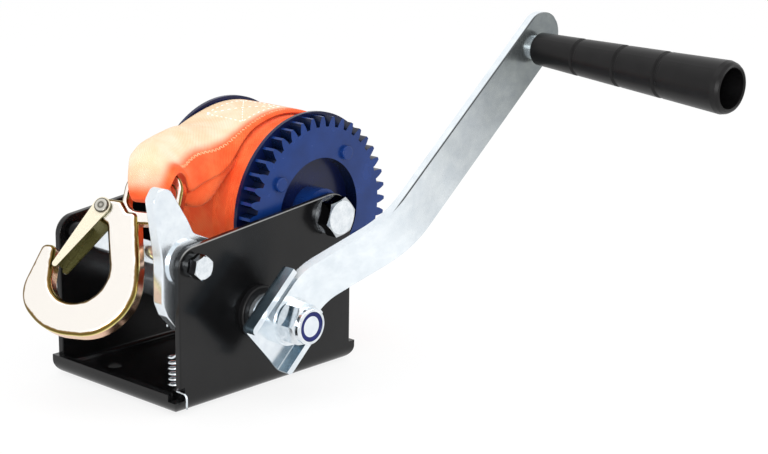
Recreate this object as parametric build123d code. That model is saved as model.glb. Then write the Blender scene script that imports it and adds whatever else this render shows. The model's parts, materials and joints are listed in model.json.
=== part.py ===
"""Strap hand winch: bent steel frame, geared drum, crank, reversible pawl and hook.

Millimetres, +Z up. The crank side is -Y and the strap leaves towards -X. The origin is the
centre of the four mounting holes, on the underside of the base.
"""
import math
import os

from build123d import *

# Frame
sheet = 4.5
frame_width = 112.0
plate_length = 141.5
plate_front = 72.5
bend_radius = 8.5
lip_height = 12.0
plate_edge_r = 0.8
top_front = 97.35
top_rear = 112.0
top_front_round = 12.0
top_rear_round = 17.0
mount_spacing_x = 100.0
mount_spacing_y = 60.0
mount_hole_r = 5.25
notch_r = 5.0
notch_out = 1.2
notch_height = 8.0
face = frame_width / 2
inside = face - sheet
front = -plate_front
rear = plate_length - plate_front

# Gears
module = 2.75
gear_teeth = 41
pinion_teeth = 15
pressure_angle = 20.0
backlash = 0.45
mesh_angle = 218.85
gear_face = 9.0
gear_side_gap = 3.5
gear_hole_r = 33.7
centre_distance = module * (gear_teeth + pinion_teeth) / 2
gear_tip_r = module * (gear_teeth + 2) / 2
pinion_tip_r = module * (pinion_teeth + 2) / 2

# Drum
drum_rear_gap = 19.8
drum_x = rear - drum_rear_gap
drum_z = 98.0
flange_r = 61.0
flange_thick = 2.5
drum_far_gap = 14.5
hub_r = 15.0
hub_end_gap = 0.9
running_fit = 0.08
rivet_count = 4
rivet_r = 4.5
rivet_circle_r = 41.0
rivet_head = 2.6
rivet_round = 0.9
rivet_first_angle = 56.0
strap_width = 50.0
strap_thick = 2.6
strap_turn_r = 57.5
strap_side_gap = 0.8
strap_lay_gap = 0.4
crown_spot = (-26.0, -2.0, 146.0)
crown_width = 36.0

# Drum axle
axle_r = 7.0
axle_sleeve_r = 10.0
axle_head_af = 22.0
axle_head = 8.8
axle_washer_r = 11.8
axle_washer = 2.5
axle_nut = 11.0
hole_clearance = 0.25

# Pawl
pivot_x = -61.5
pivot_z = 87.8
pawl_thick = 8.0
pawl_inset = 10.3
pawl_edge_r = 0.8
pawl_boss_r = 14.0
pawl_boss_gap = 0.5
pawl_bush_r = 7.0
tie_tube_r = 7.0
tie_bolt_r = 4.0
tie_head_af = 13.0
tie_head = 6.8
tie_washer = 2.2
tie_washer_r = 6.6
tie_proud = 2.0
pawl_hole_r = 2.2
pawl_hole = (-66.6, 52.2)
spring_wire_r = 0.65
spring_coil_r = 4.0
spring_turns = 5.5
spring_inset = 5.3
spring_foot = (-70.3, 12.6)
spring_hook = 19.8
spring_rise = 1.6
spring_tail = 6.0
spring_out = 1.2
coil_x = -67.2

# Pinion shaft and crank
shaft_r = 10.0
bush_r = 13.0
bush_flange_r = 16.0
bush_flange = 4.0
far_bush_flange = 2.5
collar_r = 11.6
collar = 11.0
collar_gap = 0.3
shoulder_gap = 2.7
thread_r = 6.2
channel_sheet = 4.0
channel_width = 46.6
channel_depth = 11.4
channel_low = -24.0
channel_high = 21.5
channel_short = 8.0
crank_angle = 42.0
arm_thick = 6.0
arm_width = 30.0
arm_hub_bend_r = 30.0
arm_bend_r = 55.0
arm_hub_straight = 26.0
arm_ramp_end = 74.0
arm_ramp_out = 36.5
crank_reach = 221.7
arm_lean = 3.4
arm_over = 9.0
crank_washer = 2.4
crank_washer_r = 14.0
nut_af = 22.0
nut_hex = 11.0
nut_crown = 3.2
nut_crown_r = 10.9
nylon_r = 8.9

# Grip
grip_length = 141.0
grip_small_r = 10.0
grip_big_r = 15.5
grip_bore_r = 4.2
grip_bolt_r = 4.0
grip_mouth_r = 11.8
grip_mouth_depth = 20.0
grip_washer = 2.5
grip_washer_r = 7.5
grip_gap = 1.0
groove_depth = 1.2
groove_width = 3.4
groove_places = (0.24, 0.465, 0.68)

# Hook, in its own plane: u to the right, v up, from the middle of its eye
hook_thick = 13.0
hook_eye = (-57.76, -18.81, 119.82)
hook_turn = 206.0
hook_tilt = 32.0
hook_edge_r = 3.2
eye_thick = 9.0
eye_edge_r = 1.7
eye_half = 14.2
eye_low = -9.5
eye_high = 8.0
eye_bar = 7.6
eye_side = 3.8
loop_width = 23.0
loop_inner_r = 6.6
latch_sheet = 1.6
latch_inner = hook_thick + 0.8
latch_pivot = (-27.6, -9.6)
latch_tip = (-48.6, -46.4)
latch_pivot_r = 5.2
latch_tip_r = 1.8
latch_web_start = 13.0
latch_rivet_r = 2.5

os.makedirs("parts", exist_ok=True)
made = {}


def save(name, shape):
    made[name] = shape
    export_step(shape, f"parts/{name}.step")


def along_y(x, z, y_low, y_high, r):
    length = y_high - y_low
    middle = (y_low + y_high) / 2
    return Pos(x, middle, z) * Rot(90, 0, 0) * Cylinder(r, length)


def hex_along_y(x, z, y_low, y_high, flats, turn=0.0):
    prism = extrude(RegularPolygon(flats / 2, 6, major_radius=False, rotation=turn), y_high - y_low)
    return Pos(x, y_high, z) * Rot(90, 0, 0) * prism


def plate_xz(points, y_low, y_high, rounds=None):
    sketch = Plane.XZ * make_face(Polyline(*points, close=True))
    body = extrude(sketch, -(y_high - y_low))
    body = Pos(0, y_low - body.bounding_box().min.Y, 0) * body
    if rounds:
        for (x, z), radius in rounds:
            edges = body.edges().filter_by(Axis.Y)
            near = edges.sort_by_distance(Vector(x, (y_low + y_high) / 2, z))[0]
            body = fillet(near, radius)
    return body


def chamfered_hex(x, z, y_low, y_high, flats, turn, round_low, round_high):
    body = hex_along_y(x, z, y_low, y_high, flats, turn)
    corner = flats / math.sqrt(3)
    drop = 0.13 * flats
    cone = Cylinder(corner + 1, y_high - y_low)
    edges = cone.edges().filter_by(GeomType.CIRCLE).sort_by(Axis.Z)
    picks = []
    if round_high:
        picks.append(edges[0])
    if round_low:
        picks.append(edges[-1])
    rim = chamfer(picks, drop * 0.55, drop * 1.15)
    return body & (Pos(x, (y_low + y_high) / 2, z) * Rot(90, 0, 0) * rim)


def drum_sector(low_deg, high_deg):
    points = [(drum_x, drum_z)]
    for k in range(5):
        a = math.radians(low_deg + (high_deg - low_deg) * k / 4)
        points.append((drum_x + 2 * flange_r * math.cos(a), drum_z + 2 * flange_r * math.sin(a)))
    return points


# Gear teeth with involute flanks, drawn as short straight steps
def involute(angle):
    return math.tan(angle) - angle


def gear_outline(teeth, phase_deg):
    pitch_r = module * teeth / 2
    base_r = pitch_r * math.cos(math.radians(pressure_angle))
    tip_r = pitch_r + module
    root_r = pitch_r - 1.25 * module
    half = (math.pi * module / 2 - backlash / 2) / 2 / pitch_r
    half += involute(math.radians(pressure_angle))
    flank = []
    low = max(base_r, root_r)
    for i in range(5):
        r = low + (tip_r - low) * i / 4
        flank.append((r, half - involute(math.acos(min(1.0, base_r / r)))))
    if root_r < base_r:
        flank.insert(0, (root_r, flank[0][1]))
    points = []
    for k in range(teeth):
        middle = math.radians(phase_deg) + 2 * math.pi * k / teeth
        for r, a in flank:
            points.append((r * math.cos(middle - a), r * math.sin(middle - a)))
        for r, a in reversed(flank):
            points.append((r * math.cos(middle + a), r * math.sin(middle + a)))
    return points


def gear_body(teeth, phase_deg, x, z, y_low, y_high, bore_r):
    points = [(x + a, z + b) for a, b in gear_outline(teeth, phase_deg)]
    body = plate_xz(points, y_low, y_high)
    return body - along_y(x, z, y_low - 1, y_high + 1, bore_r)


pinion_x = drum_x + centre_distance * math.cos(math.radians(mesh_angle))
pinion_z = drum_z + centre_distance * math.sin(math.radians(mesh_angle))
gear_near = -(inside - gear_side_gap)
gear_back = gear_near + gear_face
flange_back = gear_back + flange_thick
far_flange = inside - drum_far_gap - flange_thick

# Frame: a bent channel with low lips in front and behind
tray_height = 4 * bend_radius


def tray(x_low, x_high, y_half, z_low, radius):
    block = Pos((x_low + x_high) / 2, 0, z_low + tray_height / 2) * Box(x_high - x_low, 2 * y_half, tray_height)
    along = fillet(block.edges().filter_by(Axis.X).group_by(Axis.Z)[0], radius)
    across = fillet(block.edges().filter_by(Axis.Y).group_by(Axis.Z)[0], radius)
    return along & across


outer = tray(front - sheet, rear + sheet, face, 0, bend_radius)
core = tray(front, rear, inside, sheet, bend_radius - sheet)
frame = outer - core
frame = frame & Pos(0, 0, lip_height / 2) * Box(4 * plate_length, 2 * frame_width, lip_height)
plate_low = bend_radius + 0.5
side_outline = [(front, plate_low), (rear, plate_low), (rear, top_rear), (front, top_front)]
side_rounds = [((rear, top_rear), top_rear_round), ((front, top_front), top_front_round)]
for low in (-face, inside):
    plate = plate_xz(side_outline, low, low + sheet, side_rounds)
    rims = plate.edges().group_by(Axis.Y)
    upper = (rims[0] + rims[-1]).filter_by(lambda edge: edge.center().Z > plate_low + 1)
    frame = frame + fillet(upper, plate_edge_r)
spot = Pos(front - notch_out, -(inside + sheet / 2), lip_height)
frame = frame - spot * Cylinder(notch_r, notch_height)
for sx in (-1, 1):
    for sy in (-1, 1):
        spot = Pos(sx * mount_spacing_x / 2, sy * mount_spacing_y / 2, sheet / 2)
        frame = frame - spot * Cylinder(mount_hole_r, sheet + 2)
frame = frame - along_y(drum_x, drum_z, -face - 1, face + 1, axle_r + hole_clearance)
frame = frame - along_y(pivot_x, pivot_z, -face - 1, face + 1, tie_bolt_r + hole_clearance)
frame = frame - along_y(pinion_x, pinion_z, -face - 1, face + 1, bush_r)
save("frame", frame)

# Drum
hub_end = inside - hub_end_gap
hub = along_y(drum_x, drum_z, -hub_end, hub_end, hub_r)
hub = hub - along_y(drum_x, drum_z, -face, face, axle_sleeve_r + running_fit)
save("drum_hub", hub)
near_flange = along_y(drum_x, drum_z, gear_back, flange_back, flange_r)
near_flange = near_flange - along_y(drum_x, drum_z, gear_back - 1, flange_back + 1, hub_r)
save("drum_flange_near", near_flange)
far_disc = along_y(drum_x, drum_z, far_flange, far_flange + flange_thick, flange_r)
far_disc = far_disc - along_y(drum_x, drum_z, far_flange - 1, far_flange + 9, hub_r)
save("drum_flange_far", far_disc)
gear = gear_body(gear_teeth, mesh_angle, drum_x, drum_z, gear_near, gear_back, gear_hole_r)
rivets = []
for k in range(rivet_count):
    a = math.radians(rivet_first_angle + 360 * k / rivet_count)
    x = drum_x + rivet_circle_r * math.cos(a)
    z = drum_z + rivet_circle_r * math.sin(a)
    gear = gear - along_y(x, z, gear_near - 1, gear_back + 1, rivet_r - 1)
    head = along_y(x, z, gear_near - rivet_head, gear_near, rivet_r)
    head = fillet(head.edges().sort_by(Axis.Y)[0], rivet_round)
    rivets.append(head + along_y(x, z, gear_near, gear_back, rivet_r - 1))
save("drum_gear", gear)
save("gear_rivets", Compound(children=rivets))

strap_core_r = strap_turn_r - strap_thick
core_low = flange_back + strap_side_gap
core_high = far_flange - strap_side_gap
wound = along_y(drum_x, drum_z, core_low, core_high, strap_core_r)
wound = wound - along_y(drum_x, drum_z, core_low - 1, core_high + 1, hub_r)
save("strap_core", wound)
turn_high = core_high
turn_low = turn_high - strap_width
turn = along_y(drum_x, drum_z, turn_low, turn_high, strap_turn_r)
turn = turn - along_y(drum_x, drum_z, turn_low - 1, turn_high + 1, strap_core_r)
turn = turn - plate_xz(drum_sector(94.0, 110.0), turn_low - 1, turn_high + 1)
save("strap_outer_turn", turn)

# Drum axle
sleeve = along_y(drum_x, drum_z, -inside, inside, axle_sleeve_r)
sleeve = sleeve - along_y(drum_x, drum_z, -inside - 1, inside + 1, axle_r + hole_clearance)
save("drum_axle_sleeve", sleeve)
washers = []
for low, high in ((-face - axle_washer, -face), (face, face + axle_washer)):
    ring = along_y(drum_x, drum_z, low, high, axle_washer_r)
    washers.append(ring - along_y(drum_x, drum_z, low - 1, high + 1, axle_r + hole_clearance))
save("drum_axle_washers", Compound(children=washers))
head_low = -face - axle_washer - axle_head
bolt = chamfered_hex(drum_x, drum_z, head_low, head_low + axle_head, axle_head_af, 12, True, False)
axle_end = face + axle_washer + axle_nut + 2.5
bolt = bolt + along_y(drum_x, drum_z, head_low + axle_head, axle_end, axle_r)
save("drum_axle_bolt", bolt)
nut_low = face + axle_washer
nut = chamfered_hex(drum_x, drum_z, nut_low, nut_low + axle_nut, axle_head_af, 0, False, True)
save("drum_axle_nut", nut - along_y(drum_x, drum_z, 0, 90, axle_r))

# Pawl: thumb lever, boss and two teeth that reach for the pinion
pawl_far = -(inside - pawl_inset)
pawl_near = pawl_far - pawl_thick
pawl_outline = [
    (-84.5, 127.5),
    (-79.5, 134.8),
    (-71.5, 132.0),
    (-59.0, 112.5),
    (-54.8, 104.2),
    (-41.0, 98.0),
    (-21.0, 88.8),
    (-11.6, 82.6),
    (-11.4, 80.4),
    (-15.5, 80.2),
    (-24.0, 81.5),
    (-43.0, 84.0),
    (-46.5, 76.0),
    (-41.2, 54.0),
    (-40.0, 42.0),
    (-42.5, 41.2),
    (-51.5, 52.5),
    (-60.0, 47.6),
    (-66.0, 47.0),
    (-75.8, 58.5),
    (-79.3, 66.5),
    (-79.0, 92.0),
]
pawl_rounds = [
    ((-84.5, 127.5), 5.0),
    ((-79.5, 134.8), 4.5),
    ((-71.5, 132.0), 6.0),
    ((-59.0, 112.5), 20.0),
    ((-54.8, 104.2), 6.0),
    ((-43.0, 84.0), 4.0),
    ((-46.5, 76.0), 6.0),
    ((-75.8, 58.5), 5.0),
    ((-79.3, 66.5), 8.0),
    ((-79.0, 92.0), 30.0),
    ((-66.0, 47.0), 2.5),
    ((-51.5, 52.5), 4.0),
]
pawl = plate_xz(pawl_outline, pawl_near, pawl_far, pawl_rounds)
rims = pawl.edges().group_by(Axis.Y)
pawl = fillet(rims[0] + rims[-1], pawl_edge_r)
boss_low = -inside + pawl_boss_gap
boss = along_y(pivot_x, pivot_z, boss_low, pawl_near, pawl_boss_r)
tail_points = [
    (pivot_x - 10.6, pivot_z - 4.6),
    (pivot_x + 6.0, pivot_z - 23.0),
    (pivot_x + 12.0, pivot_z - 18.0),
    (pivot_x + 11.0, pivot_z),
]
boss = boss + plate_xz(tail_points, boss_low, pawl_near)
pawl = pawl + boss
pawl = pawl - along_y(pivot_x, pivot_z, boss_low - 1, pawl_far + 1, pawl_bush_r + running_fit)
pawl = pawl - along_y(pawl_hole[0], pawl_hole[1], pawl_near - 1, pawl_far + 1, pawl_hole_r)
save("pawl", pawl)
bush_high = pawl_far + 0.4
bush = along_y(pivot_x, pivot_z, -inside, bush_high, pawl_bush_r)
bush = bush - along_y(pivot_x, pivot_z, -inside - 1, bush_high + 1, tie_bolt_r + hole_clearance)
save("pawl_bush", bush)
tube = along_y(pivot_x, pivot_z, bush_high, inside, tie_tube_r)
tube = tube - along_y(pivot_x, pivot_z, bush_high - 1, inside + 1, tie_bolt_r + hole_clearance)
save("tie_tube", tube)
head_high = -face - tie_washer
tie = chamfered_hex(pivot_x, pivot_z, head_high - tie_head, head_high, tie_head_af, 18, True, False)
tie = tie + along_y(pivot_x, pivot_z, head_high, face + tie_proud, tie_bolt_r)
save("tie_bolt", tie)
ring = along_y(pivot_x, pivot_z, head_high, -face, tie_washer_r)
save("tie_washer", ring - along_y(pivot_x, pivot_z, head_high - 1, 0, tie_bolt_r + hole_clearance))

# Pawl spring: one wire, from the hole in the pawl to the hole in the near plate
def biarc(start, start_way, end, end_way):
    across = end - start
    both = start_way + end_way
    spread = 2 * (1 - start_way.dot(end_way))
    if spread < 1e-6:
        return [Line(start, end).edge()]
    lead = across.dot(both)
    reach = (math.sqrt(lead * lead + spread * across.dot(across)) - lead) / spread
    middle = (start + start_way * reach + end - end_way * reach) * 0.5
    first = Edge.make_tangent_arc(start, start_way, middle)
    second = Edge.make_tangent_arc(end, end_way * -1, middle)
    return [first, second]


spring_y = -(inside - spring_inset)
coil_top = Vector(coil_x, spring_y, pawl_hole[1] - spring_hook)
coil_low = Vector(coil_x, spring_y, spring_foot[1] + spring_rise)
coil_drop = coil_low - coil_top
hole_spot = Vector(pawl_hole[0], pawl_near + pawl_thick / 4, pawl_hole[1])
hang = 4 * spring_wire_r
stops = [
    (Vector(pawl_hole[0], pawl_far + hang, pawl_hole[1] - 1.4 * hang), Vector(0, 0, 1)),
    (hole_spot, Vector(0, -1, 0)),
    (Vector(pawl_hole[0], pawl_near - spring_out, pawl_hole[1] - 1.6 * hang), Vector(0, 0, -1)),
]
quarters = round(4 * spring_turns)
coil_spots = []
for i in range(quarters + 1):
    a = math.pi - math.pi / 2 * i
    spot = coil_top + coil_drop * (i / quarters)
    spot = spot + Vector(math.cos(a), math.sin(a), 0) * spring_coil_r
    way = Vector(math.sin(a), -math.cos(a), 0) * (math.pi / 2 * spring_coil_r)
    way = way + coil_drop * (1 / quarters)
    stops.append((spot, way.normalized()))
    coil_spots.append(spot)
stops += [
    (Vector(spring_foot[0], -inside + 0.2, spring_foot[1]), Vector(0, -1, 0)),
    (Vector(spring_foot[0], -face, spring_foot[1]), Vector(0, -1, 0)),
    (Vector(spring_foot[0], -face - hang, spring_foot[1] - hang), Vector(0, 0, -1)),
]
wire_edges = []
for (start, start_way), (end, end_way) in zip(stops, stops[1:]):
    wire_edges += biarc(start, start_way, end, end_way)
tail = stops[-1][0]
wire_edges.append(Line(tail, tail - Vector(0, 0, spring_tail)).edge())
wire_path = Wire(wire_edges)
section = Plane(stops[0][0], z_dir=stops[0][1]) * Circle(spring_wire_r)
spring = sweep(section, path=wire_path)
save("pawl_spring", spring)
least = min((p - q).length for i, p in enumerate(coil_spots) for q in coil_spots[i + 3 :])
print("pawl spring least gap to itself", round(least - 2 * spring_wire_r, 2))
print("pawl spring fill", round(spring.volume / (math.pi * spring_wire_r**2 * wire_path.length), 4))

# Pinion, its shaft and bushes
shoulder_y = -(face + bush_flange + collar_gap + collar + shoulder_gap)
pinion_near = gear_near - 0.6
pinion_back = gear_back - 0.6
pinion_phase = mesh_angle + 180 + 180 / pinion_teeth
pinion = gear_body(pinion_teeth, pinion_phase, pinion_x, pinion_z, pinion_near, pinion_back, shaft_r)
save("pinion", pinion)
shaft_far = face + far_bush_flange + 4.5
thread_low = shoulder_y - channel_sheet - arm_thick - crank_washer - nut_hex - nut_crown + 0.4
shaft = along_y(pinion_x, pinion_z, shoulder_y, shaft_far, shaft_r)
shaft = shaft + along_y(pinion_x, pinion_z, thread_low, shoulder_y, thread_r)
groove = along_y(pinion_x, pinion_z, shaft_far - 3.2, shaft_far - 1.8, shaft_r + 1)
groove = groove - along_y(pinion_x, pinion_z, shaft_far - 4, shaft_far, shaft_r - 1)
save("pinion_shaft", shaft - groove)
near_bush = along_y(pinion_x, pinion_z, -face, -inside, bush_r)
near_ring = along_y(pinion_x, pinion_z, -face - bush_flange, -face, bush_flange_r)
near_ring = fillet(near_ring.edges().filter_by(GeomType.CIRCLE).sort_by(Axis.Y)[0], 1.5)
near_bush = near_bush + near_ring
bore = along_y(pinion_x, pinion_z, -face - 20, face + 20, shaft_r + running_fit)
save("shaft_bush_near", near_bush - bore)
far_bush = along_y(pinion_x, pinion_z, inside, face, bush_r)
far_bush = far_bush + along_y(pinion_x, pinion_z, face, face + far_bush_flange, bush_flange_r)
save("shaft_bush_far", far_bush - bore)
collar_high = -face - bush_flange - collar_gap
collar_ring = along_y(pinion_x, pinion_z, collar_high - collar, collar_high, collar_r)
for k in (0.3, 0.62):
    y = collar_high - collar * k
    cut = along_y(pinion_x, pinion_z, y - 0.6, y + 0.6, collar_r + 1)
    collar_ring = collar_ring - (cut - along_y(pinion_x, pinion_z, y - 1, y + 1, collar_r - 0.9))
plain = along_y(pinion_x, pinion_z, -face - 40, face, shaft_r)
save("shaft_collar", collar_ring - plain)
clip = along_y(pinion_x, pinion_z, shaft_far - 3.1, shaft_far - 1.9, shaft_r + 3)
clip = clip - along_y(pinion_x, pinion_z, shaft_far - 4, shaft_far, shaft_r - 0.95)
slot = Pos(pinion_x + shaft_r + 3, shaft_far - 2.5, pinion_z) * Box(12, 4, 9)
save("shaft_clip", clip - slot)

# Crank: hub channel, bent arm, lock nut and grip. Drawn flat, then turned to its angle
seat = Pos(pinion_x, 0, pinion_z) * Rot(0, -crank_angle, 0)
web_high = shoulder_y
web_low = web_high - channel_sheet
edge_low = web_low - (channel_depth - channel_sheet)
half = channel_width / 2
channel_middle = (channel_low + channel_high) / 2
channel_length = channel_high - channel_low
channel = Pos(channel_middle, (web_high + edge_low) / 2, 0) * Box(
    channel_length, channel_depth, channel_width
)
hollow_depth = channel_depth - channel_sheet
hollow = Pos(channel_middle, edge_low + hollow_depth / 2 - 1, 0) * Box(
    channel_length + 2, hollow_depth + 2, channel_width - 2 * channel_sheet
)
outside_edges = channel.edges().filter_by(Axis.X).sort_by(Axis.Y)[-2:]
channel = fillet(outside_edges, 5.0)
inner_edges = hollow.edges().filter_by(Axis.X).sort_by(Axis.Y)[-2:]
channel = channel - fillet(inner_edges, 1.2)
end_edges = channel.edges().filter_by(Axis.Y).group_by(Axis.X)[0]
channel = fillet(end_edges.sort_by(Axis.Z)[0], 3.0)
short_cut = Pos(channel_short + 25, edge_low, -half) * Box(50, 2 * hollow_depth - 2, 2 * channel_sheet)
channel = channel - short_cut
channel = channel - along_y(0, 0, -200, 0, thread_r)
save("crank_channel", seat * channel)

arm_y = web_low - arm_thick / 2
lean = math.radians(arm_lean)
arm_points = [
    (-arm_width / 2, arm_y),
    (arm_hub_straight, arm_y),
    (arm_ramp_end, arm_y - arm_ramp_out),
]
arm_reach = crank_reach + arm_over
straight = arm_reach + arm_width / 2 - arm_ramp_end
arm_points.append(
    (arm_reach + arm_width / 2, arm_y - arm_ramp_out - straight * math.tan(lean))
)
arm_path = FilletPolyline(*arm_points, radius=[arm_hub_bend_r, arm_bend_r])
arm_section = Plane(arm_path @ 0, x_dir=(0, 1, 0), z_dir=(1, 0, 0)) * Rectangle(arm_thick, arm_width)
arm = sweep(arm_section, path=arm_path)
outline = SlotCenterToCenter(arm_reach, arm_width)
trim = extrude(Plane.XZ * Pos(arm_reach / 2, 0) * outline, 200, both=True)
arm = arm & trim
end_y = arm_y - arm_ramp_out - (crank_reach - arm_ramp_end) * math.tan(lean)
grip_plane = Plane(
    (crank_reach, end_y, 0), x_dir=(0, 0, 1), z_dir=(-math.sin(lean), -math.cos(lean), 0)
)
arm = arm - along_y(0, 0, -200, 0, thread_r)
arm = arm - grip_plane * Cylinder(grip_bolt_r, 60)
save("crank_arm", seat * arm)
washer_high = web_low - arm_thick
washer_low = washer_high - crank_washer
ring = along_y(0, 0, washer_low, washer_high, crank_washer_r) - along_y(0, 0, -200, 0, thread_r)
save("crank_washer", seat * ring)
nut_low = washer_low - nut_hex
nut = chamfered_hex(0, 0, nut_low, washer_low, nut_af, 14, True, False)
crown = along_y(0, 0, nut_low - nut_crown, nut_low, nut_crown_r)
crown = fillet(crown.edges().filter_by(GeomType.CIRCLE).sort_by(Axis.Y)[0], 1.0)
nut = nut + crown - along_y(0, 0, -200, 0, thread_r)
nylon_low = nut_low - nut_crown + 0.5
nylon = along_y(0, 0, nylon_low, nut_low, nylon_r)
nut = nut - along_y(0, 0, nylon_low - 1, nut_low, nylon_r)
save("crank_nut", seat * nut)
save("crank_nut_ring", seat * (nylon - along_y(0, 0, -200, 0, thread_r)))

# Grip on its bolt, along the arm's own normal
grip_start = arm_thick / 2 + grip_washer + grip_gap
grip_end = grip_start + grip_length
profile = [(grip_bore_r, grip_start), (grip_small_r - 1.2, grip_start), (grip_small_r, grip_start + 1.5)]
for place in groove_places:
    middle = grip_start + grip_length * place
    r = grip_small_r + (grip_big_r - grip_small_r) * place
    profile += [
        (r, middle - groove_width / 2),
        (r - groove_depth, middle - groove_width / 5),
        (r - groove_depth, middle + groove_width / 5),
        (r, middle + groove_width / 2),
    ]
profile += [
    (grip_big_r, grip_end - 5.0),
    (grip_big_r - 0.7, grip_end - 2.2),
    (grip_big_r - 1.8, grip_end - 0.5),
    (grip_big_r - 2.8, grip_end),
    (grip_mouth_r, grip_end - 0.8),
    (grip_mouth_r - 0.4, grip_end - grip_mouth_depth),
    (grip_bore_r, grip_end - grip_mouth_depth),
]
grip = revolve(Plane.XZ * make_face(Polyline(*profile, close=True)), Axis.Z)
grip_at = seat * grip_plane.location
save("grip", grip_at * grip)
grip_bolt = Pos(0, 0, 0) * Cylinder(
    grip_bolt_r,
    grip_end - grip_mouth_depth + arm_thick / 2 + 9.5,
    align=(Align.CENTER, Align.CENTER, Align.MIN),
)
grip_bolt = Pos(0, 0, -arm_thick / 2 - 9.0) * grip_bolt
head_at = grip_end - grip_mouth_depth + 0.5
grip_head = Pos(0, 0, head_at) * extrude(RegularPolygon(6.5, 6, major_radius=False), 5.3)
grip_bolt = grip_bolt + chamfer(grip_head.edges().group_by(Axis.Z)[-1], 0.6)
save("grip_bolt", grip_at * grip_bolt)
ring = Cylinder(grip_washer_r, grip_washer) - Cylinder(grip_bolt_r, 2 * grip_washer)
save("grip_washer", grip_at * Pos(0, 0, (arm_thick + grip_washer) / 2) * ring)
grip_nut = Pos(0, 0, -arm_thick / 2 - 6.8) * extrude(RegularPolygon(6.5, 6, major_radius=False), 6.8)
grip_nut = chamfer(grip_nut.edges().group_by(Axis.Z)[0], 0.7) - Cylinder(grip_bolt_r, 80)
save("grip_nut", grip_at * grip_nut)

# Hook: a flat forging with an eye, in its own plane
turn_rad = math.radians(hook_turn)
tilt_rad = math.radians(hook_tilt)
hook_normal = Vector(
    math.cos(turn_rad) * math.cos(tilt_rad),
    math.sin(turn_rad) * math.cos(tilt_rad),
    math.sin(tilt_rad),
)
hook_right = Vector(-math.sin(turn_rad), math.cos(turn_rad), 0)
hook_plane = Plane(Vector(*hook_eye), x_dir=hook_right, z_dir=hook_normal)
eye_height = eye_high - eye_low
eye_out = eye_half + eye_side
bar_top = eye_high + eye_bar
eye_bottom = eye_low - eye_bar
hook_corners = [
    ((-6.5, eye_low - 1.3), 3.6),
    ((1.5, -43.0), 30.0),
    ((4.5, -66.0), 30.0),
    ((-15.0, -86.5), 30.0),
    ((-48.0, -87.0), 36.0),
    ((-69.5, -68.0), 20.0),
    ((-60.4, -34.6), 3.7),
    ((-52.4, -34.6), 3.7),
    ((-50.0, -67.5), 15.0),
    ((-17.0, -67.5), 19.0),
    ((-16.2, -46.0), 14.0),
    ((-23.5, -20.0), 4.0),
    ((-34.0, -15.0), 4.6),
    ((-32.0, -3.6), 4.6),
    ((-17.0, -4.4), 3.7),
    ((-12.0, eye_low - 1.3), 2.0),
]
corner_points = [corner for corner, _ in hook_corners]
corner_rounds = [radius for _, radius in hook_corners]
edge = FilletPolyline(*corner_points, radius=corner_rounds, close=True)
hook = extrude(make_face(edge), hook_thick / 2, both=True)
rims = hook.edges().group_by(Axis.Z)
hook = fillet(rims[0] + rims[-1], hook_edge_r)
eye_ring = Pos(0, (bar_top + eye_bottom) / 2) * RectangleRounded(2 * eye_out, bar_top - eye_bottom, 12.0)
eye_ring = eye_ring - Pos(0, (eye_high + eye_low) / 2) * RectangleRounded(2 * eye_half, eye_height, 7.0)
eye = extrude(eye_ring, eye_thick / 2, both=True)
rims = eye.edges().group_by(Axis.Z)
eye = fillet(rims[0] + rims[-1], eye_edge_r)
hook = hook + eye
hook = hook - Pos(*latch_pivot, 0) * Cylinder(latch_rivet_r, 40)
save("hook", hook_plane.location * hook)

# Latch: a bent sheet channel from its rivet to the inside of the tip
reach = Vector(*latch_tip) - Vector(*latch_pivot)
latch_length = reach.length
latch_turn = math.degrees(math.atan2(reach.Y, reach.X))
latch_half = latch_inner / 2 + latch_sheet
side = Circle(latch_pivot_r).edges() + (Pos(latch_length, 0) * Circle(latch_tip_r)).edges()
cheek = extrude(make_hull(side), latch_sheet)
latch = Pos(0, 0, latch_inner / 2) * cheek + Pos(0, 0, -latch_half) * cheek
taper = (latch_pivot_r - latch_tip_r) / latch_length
web = [
    (latch_web_start, taper * latch_web_start - latch_pivot_r),
    (latch_length, -latch_tip_r),
    (latch_length, latch_sheet - latch_tip_r),
    (latch_web_start, taper * latch_web_start - latch_pivot_r + latch_sheet),
]
latch = latch + Pos(0, 0, -latch_half) * extrude(make_face(Polyline(*web, close=True)), 2 * latch_half)
latch = latch - Cylinder(latch_rivet_r, 60)
latch_at = hook_plane.location * Pos(*latch_pivot, 0) * Rot(0, 0, latch_turn)
save("hook_latch", latch_at * latch)
rivet = Cylinder(latch_rivet_r, 2 * latch_half)
for sign in (-1, 1):
    dome = Pos(0, 0, sign * (latch_half + 0.8)) * Cylinder(4.4, 1.6)
    outer_edge = dome.edges().filter_by(GeomType.CIRCLE).sort_by(Axis.Z)
    rivet = rivet + fillet(outer_edge[-1] if sign > 0 else outer_edge[0], 1.1)
save("latch_rivet", hook_plane.location * Pos(*latch_pivot, 0) * rivet)

# Free end of the strap: it lies over the drum, runs forward and loops round the eye's bar
bar_v = eye_high + eye_bar / 2
bar = hook_plane.from_local_coords(Vector(0, bar_v, 0))
back_way = Vector(hook_right.Y * -1, hook_right.X, 0)
loop_plane = Plane(bar, x_dir=back_way, z_dir=hook_right)
loop_outer_r = loop_inner_r + strap_thick
ring = Circle(loop_outer_r) + Pos(5.0, 0) * Rectangle(16.0, 2 * strap_thick)
loop = extrude(ring - Circle(loop_inner_r), loop_width / 2, both=True)
loop = loop_plane.location * loop
lay_r = strap_turn_r + strap_lay_gap
leave_angle = 110.0
rest_angle = 78.0
turn_middle = (turn_low + turn_high) / 2
nose_back = bar + back_way * 11.0
a = math.radians(leave_angle)
leave_r = lay_r + strap_thick / 2
leave = Vector(drum_x + leave_r * math.cos(a), turn_middle, drum_z + leave_r * math.sin(a))
tangent = Vector(math.sin(a), 0, -math.cos(a))
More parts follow.
